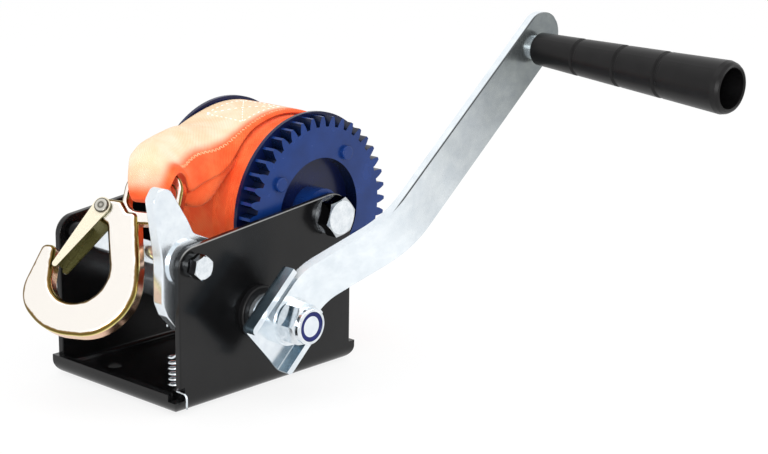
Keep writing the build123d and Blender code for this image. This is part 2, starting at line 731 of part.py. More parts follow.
stations = [
    Plane(nose_back, x_dir=hook_right, z_dir=back_way) * Rectangle(loop_width, 2 * strap_thick),
    Plane(Vector(*crown_spot), x_dir=(0, -1, 0), z_dir=(0.96, 0, 0.28)) * Rectangle(crown_width, 1.6 * strap_thick),
    Plane(leave, x_dir=(0, -1, 0), z_dir=tangent) * Rectangle(strap_width - 2, strap_thick),
]
slab = loft(stations, ruled=True)
lay_outer = lay_r + strap_thick
lay = along_y(drum_x, drum_z, turn_low + 1, turn_high - 1, lay_outer)
lay = lay - along_y(drum_x, drum_z, turn_low - 9, turn_high + 9, lay_r)
lay = lay & plate_xz(drum_sector(rest_angle, leave_angle), turn_low - 5, turn_high + 5)
clear = along_y(drum_x, drum_z, turn_low - 30, turn_high + 30, lay_r)
strap_end = loop + slab + lay - clear
save("strap_end", strap_end)
for name, shape in made.items():
    count = len(shape.solids())
    if count != 1:
        print(name, "solids", count)
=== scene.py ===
import json
import math

import bmesh
import bpy
import numpy as np
from mathutils import Matrix, Vector


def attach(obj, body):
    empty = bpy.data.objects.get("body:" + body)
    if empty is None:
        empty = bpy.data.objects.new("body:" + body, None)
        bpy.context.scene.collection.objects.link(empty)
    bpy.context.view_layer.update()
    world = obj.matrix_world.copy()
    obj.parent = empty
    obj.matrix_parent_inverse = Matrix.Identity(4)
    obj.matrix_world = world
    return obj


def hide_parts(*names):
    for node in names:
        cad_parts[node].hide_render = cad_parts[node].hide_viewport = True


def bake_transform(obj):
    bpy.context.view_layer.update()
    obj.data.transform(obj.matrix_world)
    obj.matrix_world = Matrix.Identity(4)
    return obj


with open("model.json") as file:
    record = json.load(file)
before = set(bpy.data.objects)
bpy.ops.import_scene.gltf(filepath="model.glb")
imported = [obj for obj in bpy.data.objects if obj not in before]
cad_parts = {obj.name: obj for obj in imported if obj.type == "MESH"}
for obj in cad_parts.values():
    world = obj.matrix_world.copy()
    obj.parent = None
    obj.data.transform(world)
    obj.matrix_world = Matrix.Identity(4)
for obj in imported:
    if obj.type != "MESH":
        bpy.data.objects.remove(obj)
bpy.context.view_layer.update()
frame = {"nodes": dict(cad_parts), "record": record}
mm = 0.001
scene = bpy.context.scene
scene.view_settings.view_transform = "Standard"
print("frame loaded,", len(frame["nodes"]), "nodes")


# sRGB hex code to a linear colour
def hexColor(code):
    channels = np.array([int(code[i : i + 2], 16) for i in (1, 3, 5)]) / 255.0
    linear = np.where(channels <= 0.04045, channels / 12.92, ((channels + 0.055) / 1.055) ** 2.4)
    return (*[float(c) for c in linear], 1.0)


# one node with its settings, values, links and ramp stops, as its named output or, with no
# output named, itself; a socket as a value becomes a link
def addNode(tree, kind, output=None, values=None, stops=None, **settings):
    node = tree.nodes.new(kind)
    for key, value in settings.items():
        setattr(node, key, value)
    for key, value in (values or {}).items():
        if isinstance(value, bpy.types.NodeSocket):
            tree.links.new(value, node.inputs[key])
        else:
            node.inputs[key].default_value = value
    if stops:
        elements = node.color_ramp.elements
        while len(elements) < len(stops):
            elements.new(0.5)
        for element, (place, code) in zip(elements, stops):
            element.position = place
            element.color = hexColor(code)
    return node if output is None else node.outputs[output]


def startMaterial(name):
    material = bpy.data.materials.new(name)
    material.use_nodes = True
    material.node_tree.nodes.clear()
    return material, material.node_tree


# Noise scales are 1 / size, sizes in mm. Powder coated steel: stoved gloss black in faint
# clouds of 24 mm, with an orange peel of 2.2 mm, and a pale painted highlight along the plates' upper outer
# edges, where it faces up, above a height and beyond a distance from the middle, in mm
def blackPowderCoat(edgeHighlight):
    material, tree = startMaterial("blackPowderCoat")
    spot = addNode(tree, "ShaderNodeTexCoord")
    place = spot.outputs["Object"]
    values = {"Vector": place, "Scale": 1 / (24 * mm), "Detail": 3}
    cloud = addNode(tree, "ShaderNodeTexNoise", "Fac", values)
    values = {"Vector": place, "Scale": 1 / (2.2 * mm), "Detail": 1}
    peel = addNode(tree, "ShaderNodeTexNoise", "Fac", values)
    stops = [(0.3, "#0B0B0C"), (0.7, "#121213")]
    base = addNode(tree, "ShaderNodeValToRGB", "Color", {"Fac": cloud}, stops)
    where = addNode(tree, "ShaderNodeSeparateXYZ", None, {"Vector": place})
    off = addNode(tree, "ShaderNodeMath", 0, {0: where.outputs["Y"]}, operation="ABSOLUTE")
    facing = addNode(tree, "ShaderNodeSeparateXYZ", "Z", {"Vector": spot.outputs["Normal"]})
    share = 1.0
    # share of the painted highlight: facing up, high on the plate and out at its outer face
    for value, key in ((facing, "tilt"), (where.outputs["Z"], "above"), (off, "beyond")):
        values = {"Value": value, "From Min": edgeHighlight[key][0], "From Max": edgeHighlight[key][1]}
        part = addNode(tree, "ShaderNodeMapRange", "Result", values)
        share = addNode(tree, "ShaderNodeMath", 0, {0: part, 1: share}, operation="MULTIPLY")
    values = {0: share, 6: base, 7: hexColor(edgeHighlight["color"])}
    base = addNode(tree, "ShaderNodeMix", 2, values, data_type="RGBA")
    rough = addNode(tree, "ShaderNodeMapRange", "Result", {"Value": cloud, "To Min": 0.16, "To Max": 0.26})
    values = {"Height": peel, "Strength": 0.12, "Distance": 0.05 * mm}
    bump = addNode(tree, "ShaderNodeBump", "Normal", values)
    values = {"Base Color": base, "Roughness": rough, "Normal": bump, "IOR": 1.36}
    surface = addNode(tree, "ShaderNodeBsdfPrincipled", "BSDF", values)
    addNode(tree, "ShaderNodeOutputMaterial", None, {"Surface": surface})
    return material


# Enamel on steel: deep blue gloss, a little paler where it is sprayed thin, in patches of 16 mm;
# with toothShade, painted dark shade on what faces neither along the axle nor out from it, and down at the
# roots
def blueEnamel(name, low, high, toothShade=None):
    material, tree = startMaterial(name)
    spot = addNode(tree, "ShaderNodeTexCoord")
    place = spot.outputs["Object"]
    values = {"Vector": place, "Scale": 1 / (16 * mm), "Detail": 3}
    cloud = addNode(tree, "ShaderNodeTexNoise", "Fac", values)
    values = {"Vector": place, "Scale": 1 / (2.6 * mm), "Detail": 1}
    peel = addNode(tree, "ShaderNodeTexNoise", "Fac", values)
    base = addNode(tree, "ShaderNodeValToRGB", "Color", {"Fac": cloud}, [(0.3, low), (0.7, high)])
    if toothShade:
        values = {0: place, 1: toothShade["axle"]}
        shift = addNode(tree, "ShaderNodeVectorMath", 0, values, operation="SUBTRACT")
        ray = addNode(tree, "ShaderNodeVectorMath", 0, {0: shift, 1: (1, 0, 1)}, operation="MULTIPLY")
        reach = addNode(tree, "ShaderNodeVectorMath", "Value", {0: ray}, operation="LENGTH")
        ray = addNode(tree, "ShaderNodeVectorMath", 0, {0: ray}, operation="NORMALIZE")
        values = {0: spot.outputs["Normal"], 1: ray}
        outward = addNode(tree, "ShaderNodeVectorMath", "Value", values, operation="DOT_PRODUCT")
        parts = []
        for value, key in ((outward, "outward"), (reach, "reach")):
            values = {"Value": value, "From Min": toothShade[key][0], "From Max": toothShade[key][1]}
            parts.append(addNode(tree, "ShaderNodeMapRange", "Result", values))
        hidden = addNode(tree, "ShaderNodeMath", 0, {0: parts[0], 1: parts[1]}, operation="MAXIMUM")
        side = addNode(tree, "ShaderNodeSeparateXYZ", "Y", {"Vector": spot.outputs["Normal"]})
        face = addNode(tree, "ShaderNodeMath", 0, {0: side}, operation="ABSOLUTE")
        rim = addNode(tree, "ShaderNodeMath", 0, {0: 1.0, 1: face}, operation="SUBTRACT")
        share = addNode(tree, "ShaderNodeMath", 0, {0: hidden, 1: rim}, operation="MULTIPLY")
        values = {0: share, 6: base, 7: hexColor(toothShade["color"])}
        base = addNode(tree, "ShaderNodeMix", 2, values, data_type="RGBA")
    rough = addNode(tree, "ShaderNodeMapRange", "Result", {"Value": cloud, "To Min": 0.2, "To Max": 0.32})
    values = {"Height": peel, "Strength": 0.15, "Distance": 0.05 * mm}
    bump = addNode(tree, "ShaderNodeBump", "Normal", values)
    values = {"Base Color": base, "Roughness": rough, "Normal": bump, "IOR": 1.38}
    surface = addNode(tree, "ShaderNodeBsdfPrincipled", "BSDF", values)
    addNode(tree, "ShaderNodeOutputMaterial", None, {"Surface": surface})
    return material


# Zinc plate on pressed steel: bright, slightly blue, with cloudy patches from the bath; with
# paintedDark, painted darkness (shade, and on the arm a dark reflection) turns it grey from start to end,
# in mm along a way, on all faces, the flats or the sides, with a border that wanders; a shadeLine is a
# painted line of shade on the faces that look aside, from none to all between two depths, in mm from the
# origin along its front
def brightZinc(name, sizeMm, low, high, roughLow, roughHigh, metallic, paintedDark=None):
    material, tree = startMaterial(name)
    spot = addNode(tree, "ShaderNodeTexCoord")
    place = spot.outputs["Object"]
    values = {"Vector": place, "Scale": 1 / (sizeMm * mm), "Detail": 4, "Roughness": 0.6}
    cloud = addNode(tree, "ShaderNodeTexNoise", "Fac", values)
    base = addNode(tree, "ShaderNodeValToRGB", "Color", {"Fac": cloud}, [(0.3, low), (0.7, high)])
    if paintedDark:
        patch, wander, sharp = 30 * mm, 40 * mm, 4.0
        values = {0: place, 1: paintedDark["way"]}
        along = addNode(tree, "ShaderNodeVectorMath", "Value", values, operation="DOT_PRODUCT")
        values = {"Vector": place, "Scale": 1 / patch, "Detail": 3}
        drift = addNode(tree, "ShaderNodeTexNoise", "Fac", values)
        values = {0: drift, 1: wander, 2: along}
        along = addNode(tree, "ShaderNodeMath", 0, values, operation="MULTIPLY_ADD")
        values = {"Value": along, "From Min": paintedDark["start"] * mm, "From Max": paintedDark["end"] * mm}
        share = addNode(tree, "ShaderNodeMapRange", "Result", values)
        if "on" in paintedDark:
            side = addNode(tree, "ShaderNodeSeparateXYZ", "Y", {"Vector": spot.outputs["Normal"]})
            flat = addNode(tree, "ShaderNodeMath", 0, {0: side}, operation="ABSOLUTE")
            flat = addNode(tree, "ShaderNodeMath", 0, {0: flat, 1: sharp}, operation="POWER")
            if paintedDark["on"] == "sides":
                flat = addNode(tree, "ShaderNodeMath", 0, {0: 1.0, 1: flat}, operation="SUBTRACT")
            share = addNode(tree, "ShaderNodeMath", 0, {0: share, 1: flat}, operation="MULTIPLY")
        stops = [(0.3, paintedDark["low"]), (0.7, paintedDark["high"])]
        grey = addNode(tree, "ShaderNodeValToRGB", "Color", {"Fac": cloud}, stops)
        base = addNode(tree, "ShaderNodeMix", 2, {0: share, 6: base, 7: grey}, data_type="RGBA")
        if "shadeLine" in paintedDark:
            shadeLine = paintedDark["shadeLine"]
            values = {0: place, 1: shadeLine["front"]}
            off = addNode(tree, "ShaderNodeVectorMath", "Value", values, operation="DOT_PRODUCT")
            values = {"Value": off, "From Min": shadeLine["depth"][0] * mm, "From Max": shadeLine["depth"][1] * mm}
            close = addNode(tree, "ShaderNodeMapRange", "Result", values)
            values = {0: spot.outputs["Normal"], 1: shadeLine["aside"]}
            aside = addNode(tree, "ShaderNodeVectorMath", "Value", values, operation="DOT_PRODUCT")
            values = {0: close, 1: aside}
            line = addNode(tree, "ShaderNodeMath", 0, values, operation="MULTIPLY", use_clamp=True)
            values = {0: line, 6: base, 7: hexColor(shadeLine["color"])}
            base = addNode(tree, "ShaderNodeMix", 2, values, data_type="RGBA")
    values = {"Value": cloud, "To Min": roughLow, "To Max": roughHigh}
    rough = addNode(tree, "ShaderNodeMapRange", "Result", values)
    values = {"Vector": place, "Scale": 1 / (1.1 * mm), "Detail": 2}
    pits = addNode(tree, "ShaderNodeTexNoise", "Fac", values)
    values = {"Height": pits, "Strength": 0.1, "Distance": 0.04 * mm}
    bump = addNode(tree, "ShaderNodeBump", "Normal", values)
    values = {"Base Color": base, "Roughness": rough, "Normal": bump, "Metallic": metallic}
    surface = addNode(tree, "ShaderNodeBsdfPrincipled", "BSDF", values)
    addNode(tree, "ShaderNodeOutputMaterial", None, {"Surface": surface})
    return material


# Yellow chromate over zinc: nearly clear on the flats; where an edge rounds, the film runs
# through olive and gold to rose, by flatness = |normal . way| and a drift of about 9 mm; with
# shadedInside, it takes the sides' colour between the flanges as painted shade, half = mm from the centre
# along the way
def yellowZinc(name, way, stops, roughLow, roughHigh, metallic, shadedInside=None):
    material, tree = startMaterial(name)
    spot = addNode(tree, "ShaderNodeTexCoord")
    place = spot.outputs["Object"]
    values = {0: spot.outputs["Normal"], 1: way}
    facing = addNode(tree, "ShaderNodeVectorMath", "Value", values, operation="DOT_PRODUCT")
    flatness = addNode(tree, "ShaderNodeMath", 0, {0: facing}, operation="ABSOLUTE")
    if shadedInside:
        values = {0: place, 1: shadedInside["centre"]}
        shift = addNode(tree, "ShaderNodeVectorMath", 0, values, operation="SUBTRACT")
        off = addNode(tree, "ShaderNodeVectorMath", "Value", {0: shift, 1: way}, operation="DOT_PRODUCT")
        off = addNode(tree, "ShaderNodeMath", 0, {0: off}, operation="ABSOLUTE")
        values = {"Value": off, "From Min": shadedInside["half"][0] * mm, "From Max": shadedInside["half"][1] * mm}
        outer = addNode(tree, "ShaderNodeMapRange", "Result", values)
        flatness = addNode(tree, "ShaderNodeMath", 0, {0: flatness, 1: outer}, operation="MULTIPLY")
    values = {"Vector": place, "Scale": 1 / (9 * mm), "Detail": 3, "Roughness": 0.55}
    film = addNode(tree, "ShaderNodeTexNoise", "Fac", values)
    spread, least = 0.26, -0.09
    drift = addNode(tree, "ShaderNodeMath", 0, {0: film, 1: spread, 2: least}, operation="MULTIPLY_ADD")
    depth = addNode(tree, "ShaderNodeMath", 0, {0: flatness, 1: drift}, operation="ADD")
    base = addNode(tree, "ShaderNodeValToRGB", "Color", {"Fac": depth}, stops)
    values = {"Vector": place, "Scale": 1 / (4 * mm), "Detail": 3}
    cloud = addNode(tree, "ShaderNodeTexNoise", "Fac", values)
    values = {"Value": cloud, "To Min": roughLow, "To Max": roughHigh}
    rough = addNode(tree, "ShaderNodeMapRange", "Result", values)
    values = {"Height": cloud, "Strength": 0.08, "Distance": 0.06 * mm}
    bump = addNode(tree, "ShaderNodeBump", "Normal", values)
    values = {"Base Color": base, "Roughness": rough, "Normal": bump, "Metallic": metallic}
    surface = addNode(tree, "ShaderNodeBsdfPrincipled", "BSDF", values)
    addNode(tree, "ShaderNodeOutputMaterial", None, {"Surface": surface})
    return material


# Set rivet: its head is turned bright, with a pressed ring, by distance from its own line
def rivetZinc(rivet, way):
    material, tree = startMaterial("setRivetZinc")
    place = addNode(tree, "ShaderNodeTexCoord", "Object")
    shift = addNode(tree, "ShaderNodeVectorMath", 0, {0: place, 1: rivet["centre"]}, operation="SUBTRACT")
    offset = addNode(tree, "ShaderNodeVectorMath", 0, {0: shift, 1: way}, operation="CROSS_PRODUCT")
    reach = addNode(tree, "ShaderNodeVectorMath", "Value", {0: offset}, operation="LENGTH")
    part = addNode(tree, "ShaderNodeMath", 0, {0: reach, 1: rivet["headR"] * mm}, operation="DIVIDE")
    base = addNode(tree, "ShaderNodeValToRGB", "Color", {"Fac": part}, rivet["rings"])
    values = {"Base Color": base, "Metallic": 1.0, "Roughness": 0.22}
    surface = addNode(tree, "ShaderNodeBsdfPrincipled", "BSDF", values)
    addNode(tree, "ShaderNodeOutputMaterial", None, {"Surface": surface})
    return material


# Moulded plastic: fine spark texture of about 0.8 mm, drawn a little coarse so that it shows
def mouldedPlastic(name, low, high, roughLow, roughHigh):
    material, tree = startMaterial(name)
    place = addNode(tree, "ShaderNodeTexCoord", "Object")
    values = {"Vector": place, "Scale": 1 / (9 * mm), "Detail": 3}
    cloud = addNode(tree, "ShaderNodeTexNoise", "Fac", values)
    values = {"Vector": place, "Scale": 1 / (0.8 * mm), "Detail": 2}
    spark = addNode(tree, "ShaderNodeTexNoise", "Fac", values)
    base = addNode(tree, "ShaderNodeValToRGB", "Color", {"Fac": cloud}, [(0.3, low), (0.7, high)])
    values = {"Value": cloud, "To Min": roughLow, "To Max": roughHigh}
    rough = addNode(tree, "ShaderNodeMapRange", "Result", values)
    values = {"Height": spark, "Strength": 0.2, "Distance": 0.05 * mm}
    bump = addNode(tree, "ShaderNodeBump", "Normal", values)
    values = {"Base Color": base, "Roughness": rough, "Normal": bump, "IOR": 1.33}
    surface = addNode(tree, "ShaderNodeBsdfPrincipled", "BSDF", values)
    addNode(tree, "ShaderNodeOutputMaterial", None, {"Surface": surface})
    return material


# Polyester webbing: 1.6 mm ribs across and 1.3 mm warp columns, on the strap's own UV in metres;
# with paintedLight, it is pale where it faces up, a painted highlight of the top light, as far as the
# mesh's own paintedLight value says
def wovenWebbing(name, low, high, paintedLight=None):
    material, tree = startMaterial(name)
    along = addNode(tree, "ShaderNodeUVMap", "UV", uv_map="weave")
    split = addNode(tree, "ShaderNodeSeparateXYZ", None, {"Vector": along})
    waves = []
    for axis, pitch in (("X", 1.6), ("Y", 1.3)):
        values = {0: split.outputs[axis], 1: 2 * math.pi / (pitch * mm)}
        phase = addNode(tree, "ShaderNodeMath", 0, values, operation="MULTIPLY")
        waves.append(addNode(tree, "ShaderNodeMath", 0, {0: phase}, operation="SINE"))
    weave = addNode(tree, "ShaderNodeMath", 0, {0: waves[0], 1: waves[1]}, operation="MULTIPLY")
    values = {"Height": weave, "Strength": 0.6, "Distance": 0.25 * mm}
    bump = addNode(tree, "ShaderNodeBump", "Normal", values)
    spot = addNode(tree, "ShaderNodeTexCoord")
    values = {"Vector": spot.outputs["Object"], "Scale": 1 / (12 * mm), "Detail": 4}
    worn = addNode(tree, "ShaderNodeTexNoise", "Fac", values)
    ribShade = 0.12
    shade = addNode(tree, "ShaderNodeMath", 0, {0: weave, 1: ribShade, 2: worn}, operation="MULTIPLY_ADD")
    base = addNode(tree, "ShaderNodeValToRGB", "Color", {"Fac": shade}, [(0.3, low), (0.7, high)])
    if paintedLight:
        facing = addNode(tree, "ShaderNodeSeparateXYZ", "Z", {"Vector": spot.outputs["Normal"]})
        values = {"Value": facing, "From Min": paintedLight["tilt"][0], "From Max": paintedLight["tilt"][1]}
        upward = addNode(tree, "ShaderNodeMapRange", "Result", values, interpolation_type="SMOOTHSTEP")
        inward = addNode(tree, "ShaderNodeAttribute", "Fac", attribute_name="paintedLight")
        share = addNode(tree, "ShaderNodeMath", 0, {0: upward, 1: inward}, operation="MULTIPLY")
        stops = [(0.3, paintedLight["low"]), (0.7, paintedLight["high"])]
        pale = addNode(tree, "ShaderNodeValToRGB", "Color", {"Fac": shade}, stops)
        base = addNode(tree, "ShaderNodeMix", 2, {0: share, 6: base, 7: pale}, data_type="RGBA")
    values = {"Base Color": base, "Normal": bump, "Roughness": 0.72, "IOR": 1.4}
    values.update({"Sheen Weight": 0.2, "Sheen Roughness": 0.4, "Sheen Tint": hexColor("#FFE9CC")})
    surface = addNode(tree, "ShaderNodeBsdfPrincipled", "BSDF", values)
    addNode(tree, "ShaderNodeOutputMaterial", None, {"Surface": surface})
    return material


# Polyester thread: three plies twisted, drawn as 1.2 mm bands so that they show
def sewingThread(name, low, high):
    material, tree = startMaterial(name)
    place = addNode(tree, "ShaderNodeTexCoord", "Object")
    values = {"Vector": place, "Scale": 1 / (1.2 * mm), "Detail": 1}
    ply = addNode(tree, "ShaderNodeTexNoise", "Fac", values)
    base = addNode(tree, "ShaderNodeValToRGB", "Color", {"Fac": ply}, [(0.35, low), (0.65, high)])
    values = {"Base Color": base, "Roughness": 0.6, "IOR": 1.45}
    surface = addNode(tree, "ShaderNodeBsdfPrincipled", "BSDF", values)
    addNode(tree, "ShaderNodeOutputMaterial", None, {"Surface": surface})
    return material


drum = {"x": 49.2, "z": 98.0, "nearY": -35.7, "farY": 33.7, "hubR": 15.3}
hookWay = (-0.7622, -0.3718, 0.5299)  # square to the hook's flat faces
rivet = {
    "centre": (-0.0744314, 0.0037666, 0.1116787),
    "headR": 4.0,
    "rings": [
        (0.0, "#C9C6BC"), (0.3, "#8F8C84"), (0.42, "#4A4842"),
        (0.55, "#BDBAB0"), (0.8, "#D8D5CC"), (0.97, "#55524A"),
    ],
}
hookFilm = [
    (0.03, "#F0C2A4"), (0.3, "#F4E79E"), (0.5, "#8A7838"),
    (0.72, "#5E4E24"), (0.92, "#8E7040"), (0.985, "#FAF5EE"),
]
# the latch: olive chromate, pale on the flats, painted darker on its sides as a dark reflection
latchFilmAndShade = [(0.15, "#5E5C36"), (0.5, "#6E6A40"), (0.78, "#8A8456"), (0.93, "#E4DBC4")]
# inside the latch between its flanges, painted shade
latchInsideShade = {"centre": rivet["centre"], "half": (7.2, 8.0)}
# the free strap's top, pale with painted top light
paintedTopLight = {"tilt": (-0.5, 0.12), "low": "#F0CFA8", "high": "#F6DFC4"}
# the arm: a painted dark reflection on its flats towards the grip, and a painted line of shade along its
# upper edge
paintedArmShade = {
    "way": (0.7432, 0, 0.6691), "start": 105.0, "end": 250.0, "on": "flats",
    "low": "#6E7477", "high": "#828887",
    "shadeLine": {
        "front": (-0.0441, -0.9982, -0.0397), "depth": (112.7, 113.4), "aside": (-0.6691, 0, 0.7432),
        "color": "#4E5254",
    },
}
# bolt heads with faces turned bright and a painted dark shade on their sides
paintedHeadShade = {
    "way": (0, -1, 0), "start": 40.0, "end": 50.0, "on": "sides", "low": "#161618", "high": "#242426",
}
# pressed flanges, with a painted dull blue grey shade on their sides
paintedFlangeShade = {
    "way": (0, -1, 0), "start": 10.0, "end": 20.0, "on": "sides", "low": "#5E7280", "high": "#8094A0",
}
# painted shade on the teeth: from none to dark as a face turns away from outward, and down from a tooth to
# its root
paintedToothShade = {
    "axle": (drum["x"] * mm, 0, drum["z"] * mm),
    "outward": (0.9, 0.7), "reach": (54.6 * mm, 53.2 * mm), "color": "#081430",
}
# painted shade at the tube's far end
paintedEndShade = {"way": (0, 1, 0), "start": 36.0, "end": 44.0, "low": "#141415", "high": "#222224"}
# the plates' top edges, a painted highlight
paintedEdgeHighlight = {
    "tilt": (0.35, 0.75), "above": (50 * mm, 60 * mm), "beyond": (54.7 * mm, 55.4 * mm), "color": "#8C8C8A",
}
# an enamel's or a webbing's low and high colour; a zinc's cloud size in mm, low and high colour,
# low and high roughness, and metallic
gearBlue = ("#0C2B64", "#133576")
strapOrange = ("#FC5219", "#FF743C")
plainZinc = (9.0, "#DAE2E9", "#ECF2F6", 0.14, 0.27, 0.9)
armZinc = (9.0, "#DEE6EC", "#EEF4F8", 0.16, 0.3, 0.75)
polishedZinc = (5.0, "#D2DAE0", "#F2F6F9", 0.08, 0.16, 1.0)
finishes = {
    "black_powder_coat": blackPowderCoat(paintedEdgeHighlight),
    "blue_paint": blueEnamel("blueEnamel", *gearBlue),
    "bright_zinc": brightZinc("brightZincPlate", *plainZinc),
    "yellow_zinc": yellowZinc("yellowZincPlate", hookWay, hookFilm, 0.16, 0.3, 1.0),
    "pale_zinc": yellowZinc("paleZincPlate", hookWay, latchFilmAndShade, 0.2, 0.36, 0.4, latchInsideShade),
    "black_nylon": mouldedPlastic("blackNylon", "#0E0E0F", "#18181A", 0.3, 0.45),
    "blue_nylon": mouldedPlastic("blueNylon", "#0B1650", "#121E62", 0.3, 0.42),
    "black_grip": mouldedPlastic("blackMouldedGrip", "#080708", "#0E0D0E", 0.3, 0.42),
    "orange_webbing": wovenWebbing("orangeWebbing", *strapOrange),
}
freeWebbing = wovenWebbing("topLitWebbing", *strapOrange, paintedTopLight)
# the drum's flanges: a darker blue than the gear, as painted shade
shadedFlangeEnamel = blueEnamel("shadedBlueEnamel", "#060F34", "#0A1744")
boltZinc = brightZinc("polishedZincPlate", *polishedZinc)
headShadedBolt = brightZinc("headShadedZincPlate", *polishedZinc, paintedHeadShade)
ownFinish = {
    "crank_arm": brightZinc("armShadedZincPlate", *armZinc, paintedArmShade),
    "tie_tube": brightZinc("endShadedZincPlate", *plainZinc, paintedEndShade),
    "latch_rivet": rivetZinc(rivet, hookWay),
    "crank_channel": brightZinc("flangeShadedZincPlate", *plainZinc, paintedFlangeShade),
    "drum_axle_bolt": headShadedBolt,
    "tie_bolt": headShadedBolt,
    "drum_gear": blueEnamel("toothShadedBlueEnamel", *gearBlue, paintedToothShade),
    "drum_flange_near": shadedFlangeEnamel,
    "drum_flange_far": shadedFlangeEnamel,
}
polished = ("crank_nut", "crank_washer", "tie_washer", "grip_bolt", "pawl_bush")
ownFinish.update({name: boltZinc for name in polished})
slotOf = {entry["node"]: entry["material_slot"] for entry in frame["record"]["subparts"]}
for name, item in frame["nodes"].items():
    item.data.materials.clear()
    item.data.materials.append(ownFinish.get(name, finishes[slotOf[name]]))
print("materials on CAD nodes")


# a grid of points, rows along and columns across, as one mesh with UV in metres
def gridMesh(name, points, uv, closeRows=False):
    rows, columns = points.shape[:2]
    index = np.arange(rows * columns).reshape(rows, columns)
    here = index if closeRows else index[:-1]
    down = np.roll(index, -1, axis=0) if closeRows else index[1:]
    corners = [here[:, :-1], here[:, 1:], down[:, 1:], down[:, :-1]]
    faces = np.stack(corners, axis=-1).reshape(-1, 4)
    mesh = bpy.data.meshes.new(name)
    mesh.from_pydata(points.reshape(-1, 3).tolist(), [], faces.tolist())
    layer = mesh.uv_layers.new(name="weave")
    layer.data.foreach_set("uv", uv.reshape(-1, 2)[faces.reshape(-1)].astype(np.float32).reshape(-1))
    mesh.polygons.foreach_set("use_smooth", [True] * len(faces))
    mesh.update()
    item = bpy.data.objects.new(name, mesh)
    scene.collection.objects.link(item)
    return item


def smoothStep(x):
    x = np.clip(x, 0.0, 1.0)
    return x * x * (3 - 2 * x)


def unit(v):
    return v / np.linalg.norm(v, axis=-1, keepdims=True)


# Wound strap: a surface of turning about the drum axis, radius = top layer less one
# thickness for each edge that has been passed; each wander is its size in mm, waves a turn and
# shift from one edge to the next
wound = {
    "topR": 57.4, "turnSteps": 240, "acrossSteps": 90,
    "edges": [-15.0, -22.5, -29.0], "drops": [1.7, 1.9, 2.3], "soft": 2.6,
    "wander": ((1.3, 1, 1.7), (0.5, 3, 2.1)),
    "sag": 0.125, "sagWaves": 5, "sagTwist": 0.12, "rimDrop": 1.2, "rimWidth": 1.6,
}


def woundStrap():
    steps = wound["turnSteps"]
    angle = np.linspace(0, 2 * np.pi, steps, endpoint=False)[:, None]
    across = np.linspace(drum["nearY"], drum["farY"], wound["acrossSteps"])[None, :]
    radius = np.full((steps, wound["acrossSteps"]), wound["topR"])
    for k, (edge, drop) in enumerate(zip(wound["edges"], wound["drops"])):
        line = edge
        for size, waves, shift in wound["wander"]:
            line = line + size * np.sin(waves * angle + shift * k)
        radius = radius - drop * (1 - smoothStep((across - line) / wound["soft"] + 0.5))
    radius = radius - wound["sag"] * (1 + np.sin(wound["sagWaves"] * angle + wound["sagTwist"] * across))
    rim = np.minimum(across - drum["nearY"], drum["farY"] - across)
    radius = radius - wound["rimDrop"] * (1 - smoothStep(rim / wound["rimWidth"]))
    across = np.broadcast_to(across, radius.shape)
    foot = np.full((steps, 1), drum["hubR"])
    radius = np.hstack([foot, radius, foot])
    across = np.hstack([across[:, :1], across, across[:, -1:]])
    angle = np.broadcast_to(angle, radius.shape)
    x, z = drum["x"] + radius * np.cos(angle), drum["z"] + radius * np.sin(angle)
    uv = np.stack([angle * wound["topR"], across], axis=-1)
    return gridMesh("strapWound", np.stack([x, across, z], axis=-1) * mm, uv * mm, closeRows=True)


woundPiece = woundStrap()
woundPiece.data.materials.append(finishes["orange_webbing"])
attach(woundPiece, "drum")
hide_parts("strap_core", "strap_outer_turn")
print("wound strap made")

# Free end: a table of control rows from the drum to the hook's eye and back below, each with
# the flank's lower edge, the near line, the middle and the far edge, smoothed as a B-spline
hookPlane = {"eye": (-57.76, -18.81, 119.82), "turn": 206.0, "tilt": 32.0, "barV": 11.8}
freeEnd = {
    "flatWidth": 0.0492, "thick": 2.0, "layY": (-17.2, -15.9, 8.7, 33.2), "layFold": 1.3, "eyeHalf": 11.2,
    "eyeFlank": 0.3, "rows": 170, "columns": 41, "flank": 11, "slopeAt": 4, "swell": 0.4,
    "startFade": (14.0, 48.0), "edgeFade": (1.0, 9.0), "endFade": (167.0, 203.0),
}


def hookAxes():
    turn, tilt = math.radians(hookPlane["turn"]), math.radians(hookPlane["tilt"])
    normal = np.array([math.cos(turn) * math.cos(tilt), math.sin(turn) * math.cos(tilt), math.sin(tilt)])
    right = np.array([-math.sin(turn), math.cos(turn), 0.0])
    return right, np.cross(normal, right)


# cubic, with its ends on the first and last control, by the recursion
# N[i,d] = (t - k[i]) / (k[i+d] - k[i]) N[i,d-1] + (k[i+d+1] - t) / (k[i+d+1] - k[i+1]) N[i+1,d-1]
def bSpline(controls, count):
    knots = np.concatenate([[0, 0, 0], np.linspace(0, 1, len(controls) - 2), [1, 1, 1]])
    place = np.linspace(0, 1 - 1e-9, count)
    basis = [((place >= knots[i]) & (place < knots[i + 1])).astype(float) for i in range(len(knots) - 1)]
    for degree in (1, 2, 3):
        raised = []
        for i in range(len(basis) - 1):
            left = knots[i + degree] - knots[i]
            right = knots[i + degree + 1] - knots[i + 1]
            value = np.zeros(count)
            if left > 0:
                value = value + (place - knots[i]) / left * basis[i]
            if right > 0:
                value = value + (knots[i + degree + 1] - place) / right * basis[i + 1]
            raised.append(value)
        basis = raised
    return np.stack(basis, axis=1) @ np.asarray(controls, dtype=float)


